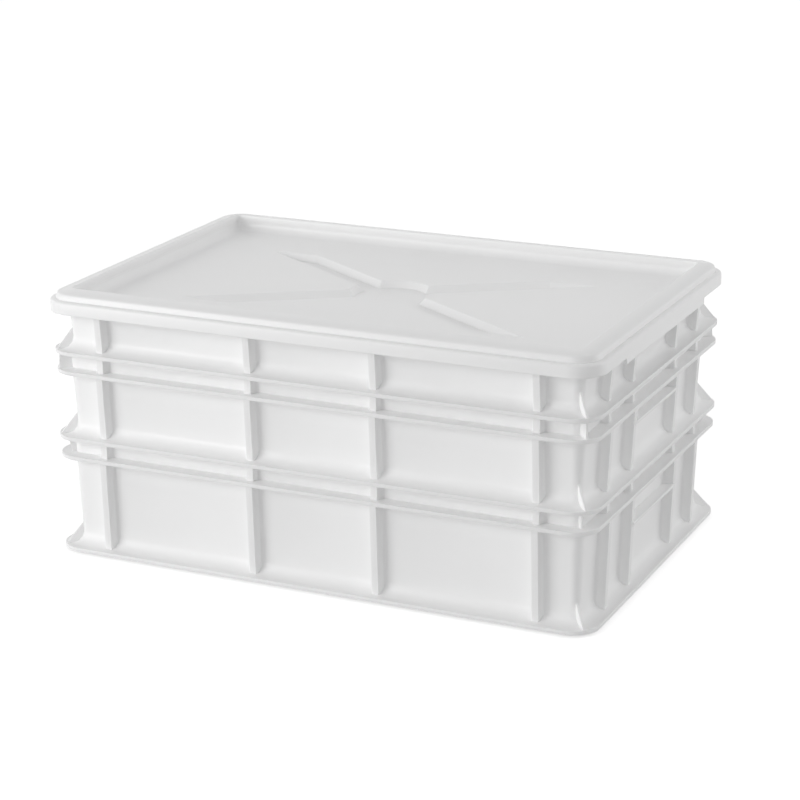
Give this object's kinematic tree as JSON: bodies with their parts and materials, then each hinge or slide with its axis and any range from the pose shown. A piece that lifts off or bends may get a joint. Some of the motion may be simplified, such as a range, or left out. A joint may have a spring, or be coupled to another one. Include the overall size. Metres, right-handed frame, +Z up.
{
  "type": "dough proofing container",
  "caption": "Stack of ribbed white dough boxes on one footprint, each resting in the rim of the one below, closed by a loose lid with a skirt and a pressed cross.",
  "frame": {"origin": "on the table, under the middle of the bottom box", "axes": "+X along the long side, +Y along the short side, +Z up, the way that the boxes lift"},
  "size_m": [0.606, 0.406, 0.284],
  "materials": {
    "box_polyethylene": "satin",
    "lid_polyethylene": "satin"
  },
  "bodies": {
    "bottom_box": {"bottom_box": "box_polyethylene"},
    "middle_box": {"middle_box": "box_polyethylene"},
    "top_box": {"top_box": "box_polyethylene"},
    "lid": {"lid": "lid_polyethylene"}
  },
  "joints": [
    {"name": "middle_box_lift", "type": "slide", "parent": "bottom_box", "child": "middle_box", "axis": [0, 0, 1], "range_m": [0, 0.3]},
    {"name": "top_box_lift", "type": "slide", "parent": "middle_box", "child": "top_box", "axis": [0, 0, 1], "range_m": [0, 0.3]},
    {"name": "lid_lift", "type": "slide", "parent": "top_box", "child": "lid", "axis": [0, 0, 1], "range_m": [0, 0.3]}
  ]
}
